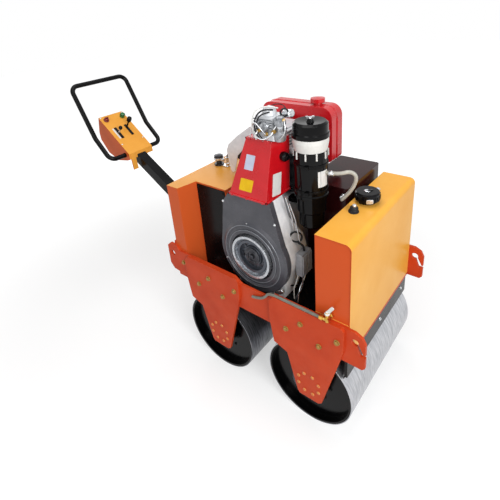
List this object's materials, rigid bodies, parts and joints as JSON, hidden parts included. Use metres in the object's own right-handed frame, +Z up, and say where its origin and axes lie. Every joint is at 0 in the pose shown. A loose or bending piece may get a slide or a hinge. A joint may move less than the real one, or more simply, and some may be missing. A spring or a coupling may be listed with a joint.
{
  "type": "walk-behind roller",
  "caption": "Double-drum walk-behind vibratory roller: steel drums under a low frame, water tank at the front, open air-cooled engine and a folding guide handle with a control console.",
  "frame": {"origin": "bottom centre of the bounding box, on the ground under the drums' lowest line", "axes": "+X to the front of the machine away from the handle, +Y to its left side, +Z up"},
  "size_m": [1.9155, 0.666, 1.336],
  "materials": {
    "black_paint": "satin enamel",
    "black_plastic": "moulded, satin",
    "body_paint": "gloss enamel",
    "brass": "turned",
    "bright_metal": "pressed sheet",
    "cast_alloy": "die cast",
    "cast_iron": "as cast",
    "dark_steel": "oiled steel",
    "drum_steel": "rolled plate, scuffed",
    "engine_paint": "gloss enamel",
    "frame_paint": "gloss enamel",
    "grey_paint": "satin enamel on pressed sheet",
    "grey_pipe": "smooth hose",
    "heat_paint": "heat-proof paint",
    "white_plastic": "moulded"
  },
  "bodies": {
    "machine": {"air_cleaner": "black_plastic", "air_cleaner_band": "white_plastic", "air_cleaner_bracket": "black_paint", "air_cleaner_cap": "black_plastic", "axle_front": "dark_steel", "axle_rear": "dark_steel", "breather_pipe": "grey_pipe", "cowl": "engine_paint", "crankcase": "cast_alloy", "cylinder": "cast_iron", "cylinder_head": "cast_alloy", "engine_deck": "black_paint", "fan_pulley": "dark_steel", "fan_shroud": "grey_paint", "flywheel_case": "cast_alloy", "front_cross": "frame_paint", "fuel_tank": "engine_paint", "fuel_tank_bracket": "black_paint", "fuel_tank_cap": "engine_paint", "handle_bracket": "frame_paint", "handle_pin": "dark_steel", "heat_shield": "bright_metal", "hydraulic_filler": "dark_steel", "intake_pipe": "cast_alloy", "leg_plate_front_far": "frame_paint", "leg_plate_front_near": "frame_paint", "leg_plate_rear_far": "frame_paint", "leg_plate_rear_near": "frame_paint", "muffler": "heat_paint", "oil_tank": "black_paint", "rear_cross": "frame_paint", "rear_housing": "body_paint", "regulator_box": "cast_alloy", "rocker_cover": "cast_alloy", "scraper_front": "black_paint", "scraper_rear": "black_paint", "side_beam_far": "frame_paint", "side_beam_near": "frame_paint", "side_panel_far": "black_paint", "side_panel_near": "black_paint", "tie_ear_front_far": "frame_paint", "tie_ear_front_near": "frame_paint", "tie_ear_rear_far": "frame_paint", "tie_ear_rear_near": "frame_paint", "water_cap": "black_plastic", "water_hose": "grey_pipe", "water_tank": "body_paint", "water_tap": "brass"},
    "front_drum": {"drum_front": "drum_steel"},
    "rear_drum": {"drum_rear": "drum_steel"},
    "handle": {"console": "body_paint", "control_knobs": "black_plastic", "control_lever": "black_plastic", "handle_arm": "black_paint", "handle_loop": "black_paint"}
  },
  "joints": [
    {"name": "drum_front_spin", "type": "hinge", "parent": "machine", "child": "front_drum", "pos_m": [0.71075, 0, 0.2], "axis": [0, 1, 0], "continuous": true},
    {"name": "drum_rear_spin", "type": "hinge", "parent": "machine", "child": "rear_drum", "pos_m": [0.21075, 0, 0.2], "axis": [0, 1, 0], "continuous": true},
    {"name": "handle_fold", "type": "hinge", "parent": "machine", "child": "handle", "pos_m": [-0.08725, 0, 0.509], "axis": [0, 1, 0], "range_deg": [0, 58]}
  ]
}
